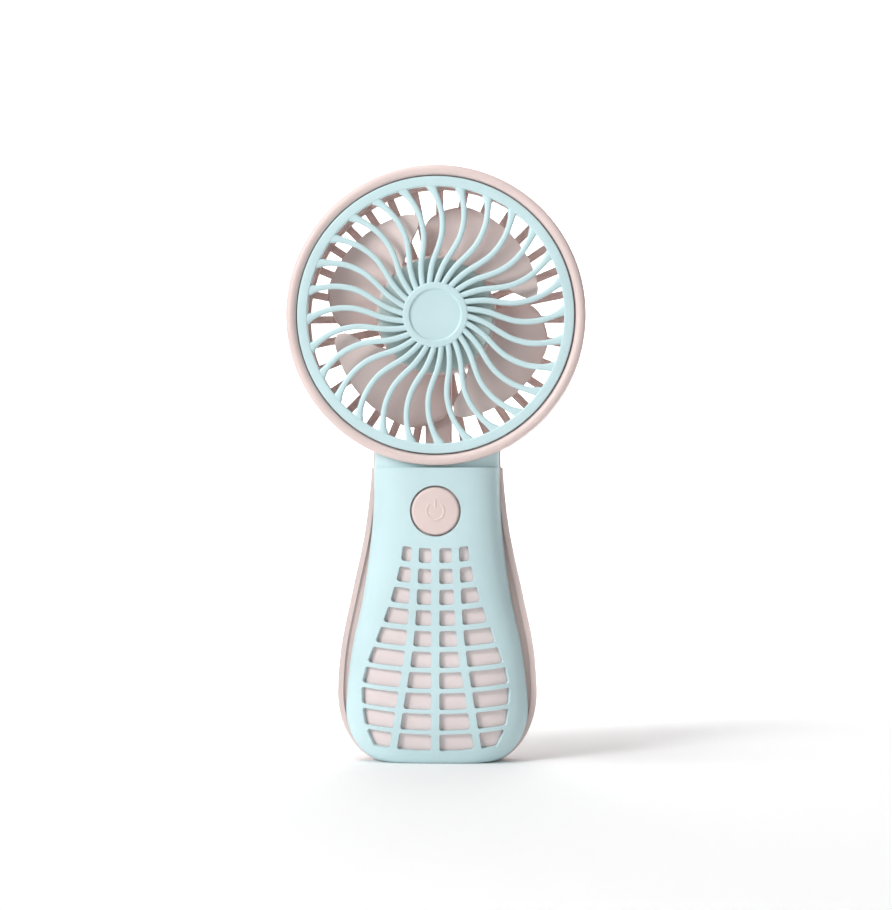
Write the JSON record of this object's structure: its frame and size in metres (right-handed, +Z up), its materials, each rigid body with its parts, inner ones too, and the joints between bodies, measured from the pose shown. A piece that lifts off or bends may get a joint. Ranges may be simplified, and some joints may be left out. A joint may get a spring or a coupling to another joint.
{
  "type": "handheld electric fan",
  "caption": "Handheld fan with a round caged head, a spinning impeller and a flared handle that stands on its flat base, with a push button and windowed front.",
  "frame": {"origin": "middle of the flat base, on the surface that the fan stands on", "axes": "+Z up along the handle to the head, -Y the way the front grille faces and the air leaves, +X to the right of someone looking at the front"},
  "size_m": [0.1, 0.0298, 0.1995],
  "materials": {
    "mint_plastic": "satin moulded plastic, pale mint",
    "pink_plastic": "satin moulded plastic, pale pink",
    "liner_plastic": "satin moulded plastic, paler pink",
    "cap_plastic": "satin moulded plastic, pale grey-green",
    "steel": "plated steel",
    "magnet": "dark sintered ferrite",
    "iron": "stacked iron sheets",
    "copper": "enamelled copper",
    "brass": "sintered bronze",
    "carbon": "carbon",
    "nylon": "natural nylon",
    "circuit_board": "green solder mask",
    "black_plastic": "black plastic",
    "battery_sleeve": "shrink sleeve",
    "red_wire": "wire insulation",
    "black_wire": "wire insulation"
  },
  "bodies": {
    "body": {"front_grille": "mint_plastic", "handle_front_cover": "mint_plastic", "head_ring": "pink_plastic", "rear_grille": "pink_plastic", "handle_back_shell": "pink_plastic", "window_liner": "liner_plastic", "motor_can": "steel", "battery_tab_top": "steel", "battery_tab_bottom": "steel", "usb_shell": "steel", "switch_body": "steel", "board_screw_1": "steel", "board_screw_2": "steel", "motor_screw_1": "steel", "motor_screw_2": "steel", "case_screw_1": "steel", "case_screw_2": "steel", "case_screw_3": "steel", "case_screw_4": "steel", "motor_magnet_left": "magnet", "motor_magnet_right": "magnet", "motor_bush_front": "brass", "motor_bush_rear": "brass", "motor_brush_left": "carbon", "motor_brush_right": "carbon", "motor_end_cap": "nylon", "control_board": "circuit_board", "usb_board": "circuit_board", "usb_tongue": "black_plastic", "battery_cell": "battery_sleeve", "motor_lead_positive": "red_wire", "battery_lead_positive": "red_wire", "usb_lead_positive": "red_wire", "motor_lead_negative": "black_wire", "battery_lead_negative": "black_wire", "usb_lead_negative": "black_wire"},
    "rotor": {"impeller": "pink_plastic", "impeller_hub_cap": "cap_plastic", "motor_shaft": "steel", "motor_armature": "iron", "motor_coil_1": "copper", "motor_coil_2": "copper", "motor_coil_3": "copper", "motor_commutator": "copper"},
    "button": {"power_button": "pink_plastic", "switch_plunger": "black_plastic"}
  },
  "joints": [
    {"name": "rotor_spin", "type": "hinge", "parent": "body", "child": "rotor", "pos_m": [0, 0, 0.1495], "axis": [0, 1, 0], "continuous": true},
    {"name": "button_press", "type": "slide", "parent": "body", "child": "button", "axis": [0, 1, 0], "range_m": [0, 0.0008], "stiffness_N_per_m": 1000}
  ]
}
